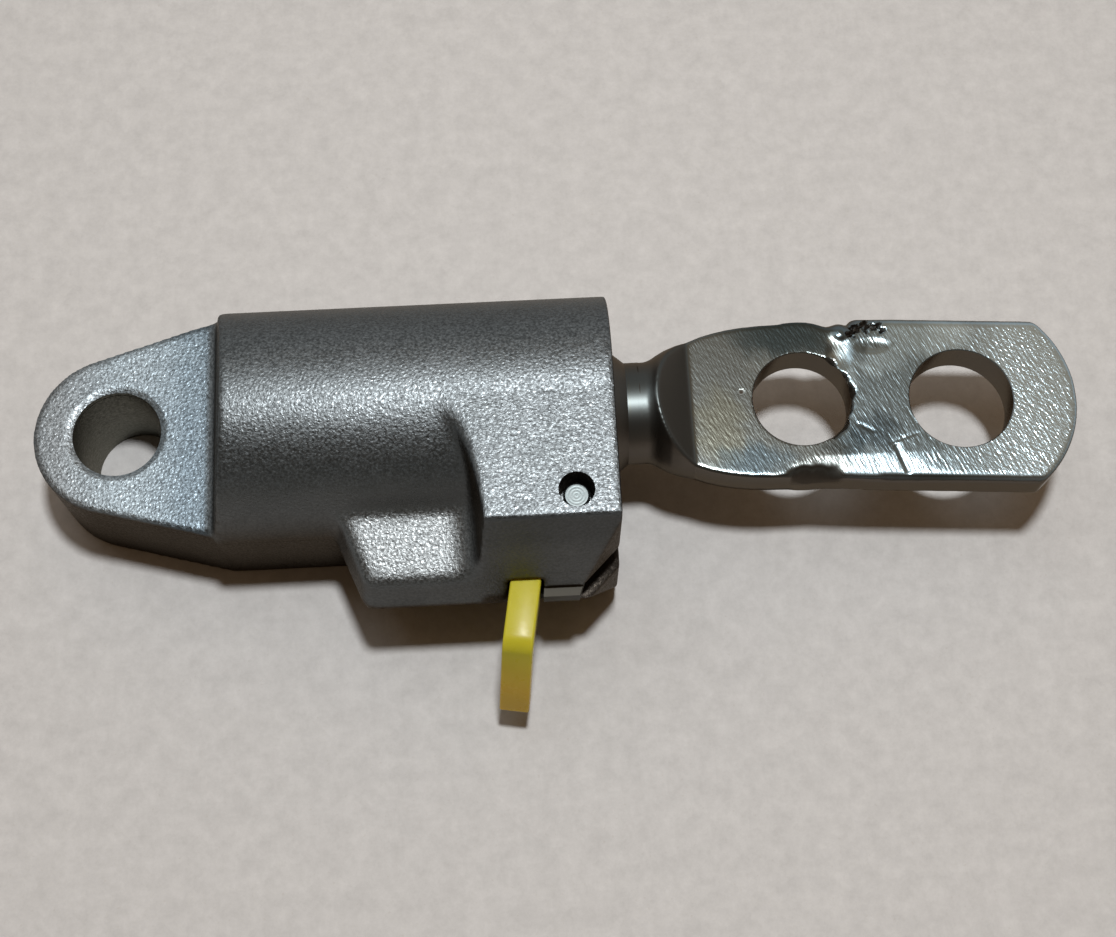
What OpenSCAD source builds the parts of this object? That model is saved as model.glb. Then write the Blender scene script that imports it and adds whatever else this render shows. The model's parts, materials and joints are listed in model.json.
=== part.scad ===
// Strut type chain tensioner: a cast housing with an eye, a ratchet plunger
// with an eye, and a drilled plate welded to the plunger eye.
// The frame has its origin on the housing eye at the flat base, +X along the
// plunger, +Y away from the latch block and +Z up.

/* [Housing] */
// Bore of the housing eye
eye_d = 9; // [8.4:0.1:9.6]
// Thickness of the housing eye
lug_t = 12.5; // [11.5:0.1:13.5]
// Outer radius of the housing eye
lug_r = 8.45; // [7.8:0.05:9]
// Distance from the eye to the barrel
lug_l = 10; // [9.5:0.1:11]
// Half width of the lug at the barrel, on the front side
lug_front_w = 11.5; // [11:0.1:11.8]
// Half width of the lug at the barrel, on the back side
lug_back_w = 12; // [11:0.1:12]
// Draft of the barrel's step above the lug in degrees
step_draft = 11.5; // [6:0.5:14]
// Draft of the barrel's sides below the parting line in degrees
side_draft = 3; // [2:0.5:4]
// Length of the barrel
barrel_l = 40.25; // [39.5:0.25:42]
// Outer radius of the barrel
barrel_r = 12.1; // [11.7:0.1:12.6]
// Height of the plunger axis above the base
axis_z = 11.2; // [10.8:0.1:11.8]
// Depth of the plunger bore
bore_depth = 33.75; // [32.5:0.25:34.5]

/* [Latch block] */
// Reach of the block's top face in front of the axis
block_reach = 14.5; // [14.2:0.1:15]
// Width of the block's top face along the barrel
block_w = 13; // [12.5:0.1:13.5]
// Draft of the block's front and base walls in degrees
wall_draft = 22.9; // [21:0.1:24]
// Length of the foot pad beside the block at the parting plane
pad_l = 15.5; // [14:0.1:16]
// Height of the pad where the sweep starts
pad_z = 15.6; // [15.2:0.1:16]
// Slope of the pad towards the front in degrees
pad_tilt = 9.8; // [7:0.1:11]
// Radius of the sweep from the block into the barrel
sweep_r = 29; // [26:0.5:32]
// Draft of the sweep wall in degrees
sweep_draft = 9; // [6:0.5:11]
// Fillet between the pad and the sweep wall
pad_fillet = 2.5; // [1.5:0.1:3]
// Radius of the pad's outer corner
pad_corner_r = 1.8; // [1.2:0.1:2.2]
// Width of the chamfer on the block's end corner
corner_chamfer = 3.4; // [2.8:0.1:3.8]

/* [Plunger] */
// Diameter of the plunger shank
plunger_d = 13; // [12.6:0.1:13.4]
// Radial running clearance of the shank in its bore
plunger_gap = 0.05; // [0.03:0.01:0.08]
// Length of the shank inside the housing
shank_l = 29.75; // [28.5:0.25:30.5]
// Diameter of the spring bore in the shank
hollow_d = 8.6; // [8.4:0.1:8.8]
// Diameter of the neck
neck_d = 10.4; // [10:0.1:11]
// Thickness of the flattened head
head_t = 4.1; // [3.7:0.1:4.5]
// Distance from the housing end to the plunger eye
head_reach = 19.5; // [19:0.1:20.5]
// Outer radius of the plunger eye
head_r = 8.6; // [8.4:0.05:8.9]
// Bore of the plunger eye
head_bore = 10.1; // [9.6:0.1:10.4]
// Ratchet pitch
tooth_pitch = 2; // [1.9:0.05:2.1]
// Ratchet depth
tooth_depth = 0.6; // [0.4:0.05:0.7]
// Number of ratchet grooves
tooth_n = 8; // [6:1:8]

/* [Extension plate] */
// Distance between the plunger eye and the plate's hole
plate_reach = 16.2; // [15.8:0.1:17]
// Sideways shift of the plate's hole
plate_shift = 0.74; // [0:0.02:1.2]
// Turn of the plate in degrees
plate_turn = 3.75; // [0:0.25:5]
// Hole in the plate
plate_hole = 10.6; // [10:0.1:11]
// Width of the plate
plate_w = 17.8; // [17:0.1:18.4]
// Radius of the plate's end about its hole
plate_end_r = 11.8; // [11.4:0.1:12.2]
// Ground edge break of the plate
plate_break = 0.5; // [0.3:0.1:0.7]
// Wall left between the plunger eye's bore and the weld
weld_wall = 0.6; // [0.5:0.1:0.9]

/* [Latch] */
// Diameter of the pivot pin
pin_d = 2.6; // [2.4:0.1:2.8]
// Diameter of the hole above the pin
pin_hole_d = 3.5; // [3.2:0.1:3.8]
// Depth of the pin's end below the block's top
pin_recess = 2; // [1.5:0.1:2.5]
// Distance of the pin from the end face
pin_in = 4.2; // [4:0.1:4.5]
// Distance of the pin behind the block's upper front edge
pin_set = 2.5; // [2.3:0.1:2.8]
// Thickness of the pawl
pawl_t = 1.8; // [1.6:0.1:2]
// Radius of the pawl around its pin
pawl_r = 3; // [2.8:0.1:3.1]
// Reach of the pawl's arm in front of its pin
arm_reach = 7.5; // [6.5:0.1:7.6]
// Width of the pawl's arm
arm_w = 3.55; // [3:0.05:3.6]
// Distance of the pawl's nose to the side of its pin
nose_side = 3.3; // [3.1:0.1:3.4]
// Free space above and below the pawl
pawl_gap = 0.3; // [0.25:0.05:0.35]
// Radial running clearance of the pawl on its pin
pivot_gap = 0.05; // [0.03:0.01:0.08]
// Width of the pull tab
tab_w = 3; // [2.6:0.1:3.1]
// Thickness of the pull tab
tab_t = 3.05; // [2.7:0.05:3.2]
// Flat length of the pull tab outside the block
tab_flat = 5.3; // [4.5:0.1:6]
// Turn of the pull tab in degrees
tab_turn = 9.5; // [6:0.5:11]

/* [Springs] */
// Wire of the plunger spring
coil_wire = 1.2; // [1:0.1:1.3]
// Turns of the plunger spring
coil_turns = 11; // [9:1:12]
// Wire of the pawl spring
pawl_wire = 0.6; // [0.5:0.05:0.7]

/* [Hidden] */
$fn = 96;

// Housing stations
end_x = lug_l + barrel_l;
top_z = axis_z + barrel_r;
block_top = top_z - 0.12;
// Small overlap that keeps flat walls from only touching round ones
blend = 0.02;
eye_break = 0.3;
bore_r = plunger_d / 2 + plunger_gap;
bore_x = end_x - bore_depth;
wall_run = tan(wall_draft);
part_z = axis_z + 0.25;
base_half = barrel_r - axis_z * tan(side_draft);
lug_root = 3;
front_part = -block_reach - (top_z - part_z) * wall_run;
front_base = front_part + part_z * wall_run;
block_x = end_x - block_w;
sweep_x = block_x - sweep_r;
sweep_y = -block_reach - 0.2;
sweep_run = tan(sweep_draft);
pad_slant = 22;
// Narrow upright strip left along the parting line
land = 0.08;
pad_draft = 14;
pad_x = block_x - pad_l;

// Pivot stations
pin_x = end_x - pin_in;
pin_y = -block_reach + pin_set;
pin_foot = 3.4;
pin_grip = 4.3;
slot_z = axis_z - pawl_gap;
slot_top = slot_z + pawl_t + 2 * pawl_gap;
slot_room = 0.5;
slot_in = 1.5;
nose_gap = 0.3;
slot_x = pin_x - arm_w - slot_room;
pocket_r = 3.3;
pocket_h = 2.9;

// Plunger stations
rear_x = end_x - shank_l;
hollow_x = end_x - 6.25;
neck_x = end_x + 1.55;
ramp_x = end_x + 8.15;
head_x = end_x + head_reach;
weld_x = head_x + head_bore / 2 + weld_wall;
groove_x = pin_x + nose_side - 0.25 * tooth_pitch;
head_low = axis_z - head_t / 2;
head_top = axis_z + head_t / 2;
weld_vee = 0.8;

// Tab stations
tab_x = pin_x - 5.25;
tab_y = -block_reach - 3.7;
channel_z = slot_z - 0.15;
tab_low = channel_z + 0.45;
tab_top = tab_low + tab_t;
tab_side = 0.2;
tab_tail = 4.4;
leg_l = 9.3;
leg_t = 2;
leg_fall = 66;
leg_bend = 2;

// Point where a line from p touches a circle of radius r about the origin
function touch(p, r) =
    let (a = atan2(p[1], p[0]) + acos(r / norm(p)))
    [r * cos(a), r * sin(a)];

// Points of an arc about c from angle a to angle b
function arc(c, r, a, b, n) =
    [for (i = [0:n]) c + r * [cos(a + (b - a) * i / n), sin(a + (b - a) * i / n)]];

// Outline drawn in Y and Z, carried along X
module along_x(x, l) {
    translate([x, 0, 0])
        rotate([90, 0, 90])
            linear_extrude(l)
                children();
}

// Outline drawn in X and Z, carried along Y
module along_y(y, l) {
    translate([0, y + l, 0])
        rotate([90, 0, 0])
            linear_extrude(l)
                children();
}

// Round wire swept along a list of points with its frames
module wire(path, out, up, r, sides) {
    n = len(path);
    pts = [for (i = [0:n - 1])
        for (k = [0:sides - 1])
            path[i] + r * cos(360 * k / sides) * out[i] + r * sin(360 * k / sides) * up];
    walls = [for (i = [0:n - 2])
        for (k = [0:sides - 1])
            [i * sides + k, i * sides + (k + 1) % sides,
             (i + 1) * sides + (k + 1) % sides, (i + 1) * sides + k]];
    first = [for (k = [0:sides - 1]) sides - 1 - k];
    last = [for (k = [0:sides - 1]) (n - 1) * sides + k];
    polyhedron(points = pts, faces = concat([first], walls, [last]), convexity = 8);
}

// Coil about Z with flat end turns
module coil(r, w, h, turns, sides, steps) {
    n = turns * steps;
    rise = h - w;
    z = [for (i = [0:n])
        let (t = i / steps)
        w / 2 + rise * min(1, max(0, (t - 0.75) / (turns - 1.5)))];
    path = [for (i = [0:n]) [r * cos(360 * i / steps), r * sin(360 * i / steps), z[i]]];
    out = [for (i = [0:n]) [cos(360 * i / steps), sin(360 * i / steps), 0]];
    wire(path, out, [0, 0, 1], w / 2, sides);
}

module lug_outline() {
    back = touch([lug_l, lug_back_w], lug_r - blend);
    front = touch([lug_l, lug_front_w], lug_r - blend);
    root = lug_l + lug_root;
    circle(r = lug_r);
    polygon([back, [front[0], -front[1]], [lug_l, -lug_front_w], [root, -lug_front_w],
             [root, lug_back_w], [lug_l, lug_back_w]]);
}

// Lug kept just inside the drafted sides of the barrel
module lug() {
    inset = 2 * blend;
    intersection() {
        linear_extrude(lug_t)
            lug_outline();
        along_x(-2 * lug_r, 2 * lug_r + lug_l + lug_root + 1)
            polygon([[-base_half + inset, 0], [base_half - inset, 0],
                     [barrel_r - inset, part_z], [barrel_r - inset, lug_t],
                     [-barrel_r + inset, lug_t], [-barrel_r + inset, part_z]]);
    }
}

// Barrel with a step that leans back from the parting line both ways
module barrel() {
    w = 3 * barrel_r;
    difference() {
        along_x(lug_l, barrel_l)
            barrel_section();
        translate([lug_l, 0, lug_t])
            rotate([0, step_draft, 0])
                translate([-w, -w / 2, 0])
                    cube([w, w, w]);
        translate([lug_l, 0, part_z])
            rotate([0, -step_draft / 2, 0])
                translate([-w, -w / 2, -w])
                    cube([w, w, w]);
    }
}

module barrel_section() {
    intersection() {
        translate([0, axis_z])
            circle(r = barrel_r, $fn = 160);
        translate([-barrel_r - 1, axis_z / 2])
            square([2 * barrel_r + 2, 2 * barrel_r]);
    }
    polygon([[-base_half, 0], [base_half, 0],
             [barrel_r - blend, axis_z], [-barrel_r + blend, axis_z]]);
}

// Plan of the latch block and pad at the parting plane
module block_plan() {
    lean = tan(pad_slant);
    y0 = -barrel_r + 0.6;
    corner_x = pad_x + (y0 - front_part) * lean;
    r = pad_corner_r;
    c = [corner_x + r / tan((90 + pad_slant) / 2), front_part + r];
    polygon(concat(
        [[pad_x - 12 * lean, y0 + 12], [pad_x, y0]],
        arc(c, r, 180 + pad_slant, 270, 10),
        [[end_x - corner_chamfer, front_part], [end_x, front_part + corner_chamfer],
         [end_x, y0 + 12]]));
}

// Space above the pad and beside the block
module sweep_space() {
    rise = top_z - pad_z;
    r0 = sweep_r - rise * sweep_run;
    high = 20;
    f = pad_fillet;
    tilt = 90 - sweep_draft;
    c = [r0 - f * tan(tilt / 2), f];
    bend = arc(c, f, -90, -sweep_draft, 10);
    side = concat(bend, [[r0 + high * sweep_run, high]]);
    translate([sweep_x, sweep_y, pad_z])
        rotate([pad_tilt, 0, 0]) {
            rotate_extrude()
                polygon(concat([[0, 0]], side, [[0, high]]));
            along_y(-20, 20)
                polygon(concat([[0, 0]], side, [[0, high]]));
        }
}

module block_body() {
    lean = tan(pad_slant);
    y0 = -barrel_r + 0.6;
    difference() {
        intersection() {
            translate([0, 0, -1])
                linear_extrude(top_z + 2)
                    block_plan();
            along_x(pad_x - 6, end_x - pad_x + 6)
                polygon([[0, 0], [front_base, 0], [front_part, part_z],
                         [-block_reach, block_top], [0, block_top]]);
        }
        sweep_space();
        translate([pad_x - land, y0, part_z])
            rotate([0, 0, pad_slant])
                rotate([0, pad_draft, 0])
                    translate([-30, -30, 0])
                        cube([30, 60, 30]);
        translate([pad_x - land, y0, part_z])
            rotate([0, 0, pad_slant])
                rotate([0, -pad_draft, 0])
                    translate([-30, -30, -30])
                        cube([30, 60, 30]);
        // end corner facet above the slot
        translate([end_x, front_part + corner_chamfer + 1.25, slot_top - 1])
            rotate([0, 0, 45])
                translate([-20, -20, 0])
                    cube([40, 20, 20]);
    }
}

module housing() {
    color([0.62, 0.63, 0.64])
        difference() {
            union() {
                lug();
                barrel();
                block_body();
            }
            // eye bore with a broken upper edge
            translate([0, 0, -1])
                cylinder(d = eye_d, h = lug_t + 2);
            translate([0, 0, lug_t - eye_break])
                cylinder(d1 = eye_d, d2 = eye_d + 4 * eye_break, h = 2 * eye_break);
            // plunger bore with a broken mouth
            translate([bore_x, 0, axis_z])
                rotate([0, 90, 0])
                    cylinder(r = bore_r, h = bore_depth + 1);
            translate([end_x - 0.5, 0, axis_z])
                rotate([0, 90, 0])
                    cylinder(r1 = bore_r, r2 = bore_r + 1, h = 1);
            // pawl slot, open to the front, the end and the bore
            translate([slot_x, 2 * front_part, slot_z])
                cube([end_x, -2 * front_part - bore_r + slot_in, slot_top - slot_z]);
            // tab channel
            tab_place()
                translate([-tab_w / 2 - tab_side, front_part, channel_z])
                    cube([tab_w + 2 * tab_side, tab_tail + tab_side - front_part,
                          tab_top + tab_side - channel_z]);
            // pivot hole
            translate([pin_x, pin_y, pin_foot])
                cylinder(d = pin_d, h = top_z);
            translate([pin_x, pin_y, top_z - pin_grip])
                cylinder(d = pin_hole_d, h = pin_grip + 1);
            // pawl spring pocket
            translate([pin_x, pin_y, slot_top - 0.2])
                cylinder(r = pocket_r, h = pocket_h + 0.2);
        }
}

module shank() {
    r = plunger_d / 2;
    grooves = [for (i = [tooth_n - 1:-1:0])
        let (g = groove_x - i * tooth_pitch)
        each [[r, g - 0.85 * tooth_pitch], [r - tooth_depth, g - 0.3 * tooth_pitch],
              [r - tooth_depth, g], [r, g]]];
    translate([0, 0, axis_z])
        rotate([0, 90, 0])
            difference() {
                rotate_extrude()
                    polygon(concat(
                        [[0, rear_x], [r - 0.6, rear_x], [r, rear_x + 0.6]],
                        grooves,
                        [[r, end_x], [neck_d / 2, neck_x], [neck_d / 2, neck_x + 3], [0, neck_x + 3]]));
                translate([0, 0, rear_x - 1])
                    cylinder(d = hollow_d, h = hollow_x - rear_x + 1);
            }
}

// Forged head before it is flattened
module head_blank() {
    n = neck_d / 2;
    k = head_r - n;
    b = ramp_x;
    translate([0, 0, axis_z])
        rotate([0, 90, 0])
            rotate_extrude()
                polygon([[0, neck_x + 1.5], [n, neck_x + 1.5], [n, b - 4.5], [n + 0.06 * k, b - 3.9],
                         [n + 0.19 * k, b - 3.2], [n + 0.32 * k, b - 2.4], [n + 0.43 * k, b - 1.4],
                         [n + 0.55 * k, b], [n + 0.71 * k, b + 1.4], [n + 0.82 * k, b + 2.8],
                         [n + 0.9 * k, b + 4.2], [n + 0.96 * k, b + 5.8], [n + 0.99 * k, b + 7.6],
                         [head_r, head_x - 2], [head_r, head_x], [0, head_x]]);
    translate([head_x, 0, axis_z - head_r])
        cylinder(r = head_r, h = 2 * head_r);
}

// Vee along the joint that the weld fills
module weld_vees() {
    w = head_r * 2 + 6;
    along_y(-w / 2, w)
        polygon([[weld_x - weld_vee, head_top], [weld_x, head_top - weld_vee],
                 [weld_x + weld_vee, head_top]]);
    along_y(-w / 2, w)
        polygon([[weld_x - weld_vee, head_low], [weld_x + weld_vee, head_low],
                 [weld_x, head_low + weld_vee]]);
}

module plunger() {
    h = head_t / 2;
    color([0.66, 0.65, 0.63])
        difference() {
            union() {
                shank();
                intersection() {
                    head_blank();
                    along_y(-20, 40)
                        polygon([[end_x, axis_z - 9], [ramp_x - 9 + h, axis_z - 9], [ramp_x, axis_z - h],
                                 [weld_x, axis_z - h], [weld_x, axis_z + h], [ramp_x, axis_z + h],
                                 [ramp_x - 9 + h, axis_z + 9], [end_x, axis_z + 9]]);
                }
            }
            translate([head_x, 0, 0])
                cylinder(d = head_bore, h = 40);
            weld_vees();
        }
}

module plate_place() {
    translate([head_x + plate_reach, -plate_shift, 0])
        rotate([0, 0, -plate_turn])
            children();
}

module extension_plate() {
    b = plate_break;
    w = plate_w / 2;
    color([0.7, 0.69, 0.67])
        difference() {
            intersection() {
                plate_place() {
                    intersection() {
                        translate([0, 0, head_low])
                            cylinder(r = plate_end_r, h = head_t, $fn = 160);
                        plate_edge(w, b);
                    }
                    difference() {
                        plate_edge(w, b);
                        translate([0, -20, 0])
                            cube([40, 40, 40]);
                    }
                }
                translate([weld_x, -30, 0])
                    cube([60, 60, 40]);
            }
            plate_place()
                cylinder(d = plate_hole, h = 40);
            weld_vees();
        }
}

// Strip with broken long edges
module plate_edge(w, b) {
    along_x(-30, 60)
        polygon([[-w + b, head_low], [w - b, head_low], [w, head_low + b], [w, head_top - b],
                 [w - b, head_top], [-w + b, head_top], [-w, head_top - b], [-w, head_low + b]]);
}

// Drop of weld metal, sized and placed in plate thicknesses from the joint and an edge
module drop(dx, edge, dy, dz, r) {
    translate([weld_x + dx * head_t, edge + dy * head_t, axis_z + dz * head_t])
        sphere(r = r * head_t, $fn = 40);
}

module weld_bead() {
    far = plate_w / 2 - plate_shift;
    near = -plate_w / 2 - plate_shift;
    color([0.5, 0.48, 0.46])
        difference() {
            union() {
                intersection() {
                    weld_vees();
                    translate([weld_x - 3, near + 0.8, 0])
                        cube([6, far - near - 1.6, 40]);
                }
                drop(-0.27, far, -0.27, 0.22, 0.355);
                drop(-0.07, far, -0.22, -0.15, 0.365);
                drop(-0.54, far, -0.22, 0.05, 0.315);
                drop(-0.37, far, -0.46, -0.17, 0.34);
                drop(-0.22, near, 0.29, 0.1, 0.365);
                drop(-0.15, near, 0.39, -0.17, 0.34);
                drop(-0.49, near, 0.29, -0.07, 0.29);
            }
            plunger();
            extension_plate();
        }
}

module plunger_spring() {
    gap = 0.25;
    color([0.45, 0.45, 0.46])
        translate([bore_x, 0, axis_z])
            rotate([0, 90, 0])
                coil((hollow_d - coil_wire) / 2 - gap, coil_wire, hollow_x - bore_x, coil_turns, 10, 26);
}

// Lever with a front arm and a nose just clear of the ratchet crests
module pawl() {
    nose = -pin_y - plunger_d / 2 - nose_gap;
    color([0.55, 0.55, 0.54])
        translate([pin_x, pin_y, axis_z])
            difference() {
                union() {
                    cylinder(r = pawl_r, h = pawl_t);
                    linear_extrude(pawl_t)
                        polygon([[-arm_w, -arm_reach], [0, -arm_reach],
                                 [0.63 * pawl_r, -0.77 * pawl_r], [0.83 * pawl_r, 0.27 * pawl_r],
                                 [1.15 * pawl_r, 1.07 * pawl_r], [nose_side, nose],
                                 [nose_side - 0.22 * tooth_pitch, nose],
                                 [nose_side - 0.5 * tooth_pitch, nose - 0.45 * tooth_pitch],
                                 [-0.5 * pawl_r, 0.73 * pawl_r], [-0.87 * pawl_r, 0.33 * pawl_r],
                                 [-0.95 * pawl_r, -0.33 * pawl_r]]);
                }
                translate([0, 0, -pawl_t / 2])
                    cylinder(d = pin_d + 2 * pivot_gap, h = 2 * pawl_t);
            }
}

module pawl_pin() {
    h = top_z - pin_recess - pin_foot;
    color([0.74, 0.76, 0.76])
        translate([pin_x, pin_y, pin_foot]) {
            cylinder(d = pin_d, h = h - 0.2);
            translate([0, 0, h - 0.2])
                cylinder(d1 = pin_d, d2 = pin_d - 0.4, h = 0.2);
        }
}

module pawl_spring() {
    r = (pocket_r + pin_d / 2) / 2;
    color([0.5, 0.5, 0.5])
        translate([pin_x, pin_y, slot_top + 0.1])
            coil(r, pawl_wire, pocket_h - 0.1, 3, 8, 24);
}

module tab_place() {
    translate([tab_x, tab_y, 0])
        rotate([0, 0, -tab_turn])
            children();
}

// Side view of the tab: a flat tongue and a leg that bends down in front of the block
module tab_side_view() {
    bend = arc([-tab_flat, tab_top - leg_bend], leg_bend, 90, 90 + leg_fall, 8);
    knee = bend[len(bend) - 1];
    tip = knee - leg_l * [cos(leg_fall), sin(leg_fall)];
    heel = tip + leg_t * [sin(leg_fall), -cos(leg_fall)];
    crook = [heel[0] + (tab_low - heel[1]) / tan(leg_fall), tab_low];
    polygon(concat([[tab_tail, tab_low], [tab_tail, tab_top]], bend, [tip, heel, crook]));
}

module pull_tab() {
    color([0.86, 0.78, 0.2])
        tab_place()
            translate([-tab_w / 2, 0, 0])
                rotate([90, 0, 90])
                    linear_extrude(tab_w)
                        tab_side_view();
}

housing();
plunger();
extension_plate();
weld_bead();
plunger_spring();
pawl();
pawl_pin();
pawl_spring();
pull_tab();
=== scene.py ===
import json
import math
from contextlib import contextmanager

import bmesh
import bpy
import numpy as np
from mathutils import Matrix, Vector


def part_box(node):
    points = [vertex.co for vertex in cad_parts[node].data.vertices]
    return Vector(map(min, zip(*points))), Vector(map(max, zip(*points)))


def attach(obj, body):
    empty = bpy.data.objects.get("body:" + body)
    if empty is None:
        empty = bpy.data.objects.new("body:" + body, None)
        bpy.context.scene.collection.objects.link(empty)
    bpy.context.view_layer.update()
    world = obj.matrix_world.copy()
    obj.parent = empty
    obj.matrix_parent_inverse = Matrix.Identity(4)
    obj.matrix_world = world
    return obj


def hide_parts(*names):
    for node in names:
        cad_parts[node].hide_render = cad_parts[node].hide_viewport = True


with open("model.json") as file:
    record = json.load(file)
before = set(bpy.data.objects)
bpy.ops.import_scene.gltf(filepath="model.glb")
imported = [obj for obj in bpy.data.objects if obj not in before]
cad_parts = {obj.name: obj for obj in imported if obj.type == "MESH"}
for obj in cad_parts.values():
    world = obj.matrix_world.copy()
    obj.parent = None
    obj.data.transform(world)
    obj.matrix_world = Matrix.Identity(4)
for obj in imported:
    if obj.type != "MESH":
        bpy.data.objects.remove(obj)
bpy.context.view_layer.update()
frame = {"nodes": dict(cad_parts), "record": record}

MM = 0.001

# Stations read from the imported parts
mounts = {mount["name"]: mount for mount in frame["record"]["mounts"]}
housing_high = Vector(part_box("housing")[1])
plate_high = Vector(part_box("extension_plate")[1])
plunger_low, plunger_high = (Vector(corner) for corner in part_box("plunger"))
tab_low, tab_high = (Vector(corner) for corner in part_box("pull_tab"))
pin_low, pin_high = (Vector(corner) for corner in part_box("pawl_pin"))
eye = Vector(mounts["housing_eye"]["pos_m"])
eye_r = mounts["housing_eye"]["dims"]["r_mm"] * MM
head_eye = Vector(mounts["plunger_eye"]["pos_m"])
head_eye_r = mounts["plunger_eye"]["dims"]["r_mm"] * MM
plate_eye = Vector(mounts["extension_eye"]["pos_m"])
plate_eye_r = mounts["extension_eye"]["dims"]["r_mm"] * MM
ram_eyes = ((head_eye, head_eye_r), (plate_eye, plate_eye_r))
pin_axis = (pin_low + pin_high) / 2
end_x = housing_high.x
top_z = housing_high.z
axis_z = head_eye.z
face_z = plate_high.z
under_z = 2 * axis_z - face_z
weld_x = plunger_high.x
part_z = axis_z + 0.25 * MM

# Sizes of the parts that the boxes do not give
PIN_HOLE_D = 3.5 * MM
PIN_BORE_D = 2.6 * MM
PIN_HOLE_DEPTH = 4.3 * MM
BLOCK_W = 13 * MM
BLOCK_DROP = 0.12 * MM
LUG_Z = 12.5 * MM
BARREL_X = 10 * MM
SHANK_D = 13 * MM
HOLLOW_D = 8.6 * MM
HOLLOW_END = 6.25 * MM
NECK_D = 10.4 * MM
NECK_RUN = 1.55 * MM
FLARE_RUN = 8 * MM
TOOTH_PITCH = 2 * MM
TOOTH_DEPTH = 0.6 * MM
TOOTH_COUNT = 8
TOOTH_END = 1.4 * MM
COIL_WIRE = 1.2 * MM
COIL_TURNS = 11
PAWL_WIRE = 0.6 * MM
PAWL_TURNS = 3
TAB_EDGE = 0.22 * MM
block_x = end_x - BLOCK_W

# Grain of the rebuilt skins
HOUSING_GRAIN = 0.3 * MM
SKIN_GRAIN = 0.16 * MM
MERGE = 0.002 * MM

# Photograph
IMAGE_W = 1116
FOCAL_PX = 1807.5
SENSOR_W = 36.0
CAMERA_PLACE = Vector((41.41, -67.50, 183.87)) * MM
CAMERA_TILT = 19.75
CAMERA_YAW = -2.95
CAMERA_ROLL = 0.08

# Studio: lamps by place, width, power and colour, then the room from front to back
LAMP_AIM = Vector((0.045, -0.005, 0))
LAMPS = {
    "ceiling_lamp": ((0.068, 0.035, 0.45), 0.045, 1.62, (1.0, 0.985, 0.96)),
    "far_lamp": ((-0.10, 0.20, 0.50), 0.30, 0.27, (0.86, 0.95, 1.0))}
ROOM_FRONT = (0.078, 0.046, 0.024)
ROOM_BACK = (0.48, 0.325, 0.195)
BACKDROP_FRONT = (0.20, 0.180, 0.155)
BACKDROP_BACK = (0.50, 0.485, 0.465)
FLOOR_HALF = 2.0


# Mesh helpers

def piece(name, mesh):
    obj = bpy.data.objects.new(name, mesh)
    bpy.context.collection.objects.link(obj)
    return obj


def discard(obj):
    mesh = obj.data
    bpy.data.objects.remove(obj)
    bpy.data.meshes.remove(mesh)


@contextmanager
def opened(mesh):
    """Opens a mesh as a shell that can be worked on, and writes it back."""
    shell = bmesh.new()
    shell.from_mesh(mesh)
    yield shell
    shell.to_mesh(mesh)
    shell.free()


def merged_copy(name, node):
    """Copy of a CAD node with its loose triangles joined."""
    mesh = frame["nodes"][node].data.copy()
    mesh.materials.clear()
    with opened(mesh) as shell:
        bmesh.ops.remove_doubles(shell, verts=shell.verts, dist=MERGE)
    if "custom_normal" in mesh.attributes:
        mesh.attributes.remove(mesh.attributes["custom_normal"])
    return piece(name, mesh)


def settle(obj):
    """Turns a piece and its modifiers into one plain mesh."""
    graph = bpy.context.evaluated_depsgraph_get()
    mesh = bpy.data.meshes.new_from_object(obj.evaluated_get(graph))
    raw = obj.data
    obj.modifiers.clear()
    obj.data = mesh
    bpy.data.meshes.remove(raw)


def recast(obj, grain):
    """Rebuilds the skin with an even grain."""
    skin = obj.modifiers.new("skin", "REMESH")
    skin.mode = "VOXEL"
    skin.voxel_size = grain
    settle(obj)


def points_of(obj):
    flat = np.empty(len(obj.data.vertices) * 3)
    obj.data.vertices.foreach_get("co", flat)
    return flat.reshape(-1, 3)


def put_points(obj, points):
    obj.data.vertices.foreach_set("co", points.ravel())
    obj.data.update()


def mark(obj, name, kind, field, values):
    """Stores one value for each point, for the finish to read."""
    obj.data.attributes.new(name, kind, "POINT").data.foreach_set(field, values.ravel())


def soften(obj, passes, share=None):
    """Rounds the edges of an even skin. share gives how much of it each point takes."""
    points = points_of(obj)
    total = len(points)
    ends = np.empty(len(obj.data.edges) * 2, dtype=np.int32)
    obj.data.edges.foreach_get("vertices", ends)
    a, b = ends.reshape(-1, 2).T
    count = np.maximum(np.bincount(np.concatenate((a, b)), minlength=total), 1)
    weight = 0.5 * (share(points) if share else np.ones(total))
    for _ in range(passes):
        near = np.stack([
            np.bincount(a, points[b, axis], total) + np.bincount(b, points[a, axis], total)
            for axis in range(3)], axis=1)
        points += weight[:, None] * (near / count[:, None] - points)
    put_points(obj, points)


def combine(obj, other, operation):
    join = obj.modifiers.new("join", "BOOLEAN")
    join.operation = operation
    join.solver = "EXACT"
    join.object = other
    settle(obj)
    discard(other)


def swallow(obj, other):
    """Adds the faces of one piece to another, before a skin is rebuilt over both."""
    with opened(obj.data) as shell:
        shell.from_mesh(other.data)
    discard(other)


def lathe(name, profile, place, turn=None, sides=128):
    """Closed solid turned about its own Z from pairs of radius and height."""
    mesh = bpy.data.meshes.new(name)
    with opened(mesh) as shell:
        rings = []
        for radius, height in profile:
            rings.append([
                shell.verts.new((radius * math.cos(step), radius * math.sin(step), height))
                for step in np.arange(sides) * 2 * math.pi / sides])
        for low, high in zip(rings, rings[1:]):
            for k in range(sides):
                after = (k + 1) % sides
                shell.faces.new((low[k], low[after], high[after], high[k]))
        shell.faces.new(rings[0][::-1])
        shell.faces.new(rings[-1])
        bmesh.ops.recalc_face_normals(shell, faces=shell.faces)
    spot = Matrix.Translation(place)
    mesh.transform(spot @ turn if turn else spot)
    return piece(name, mesh)


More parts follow.
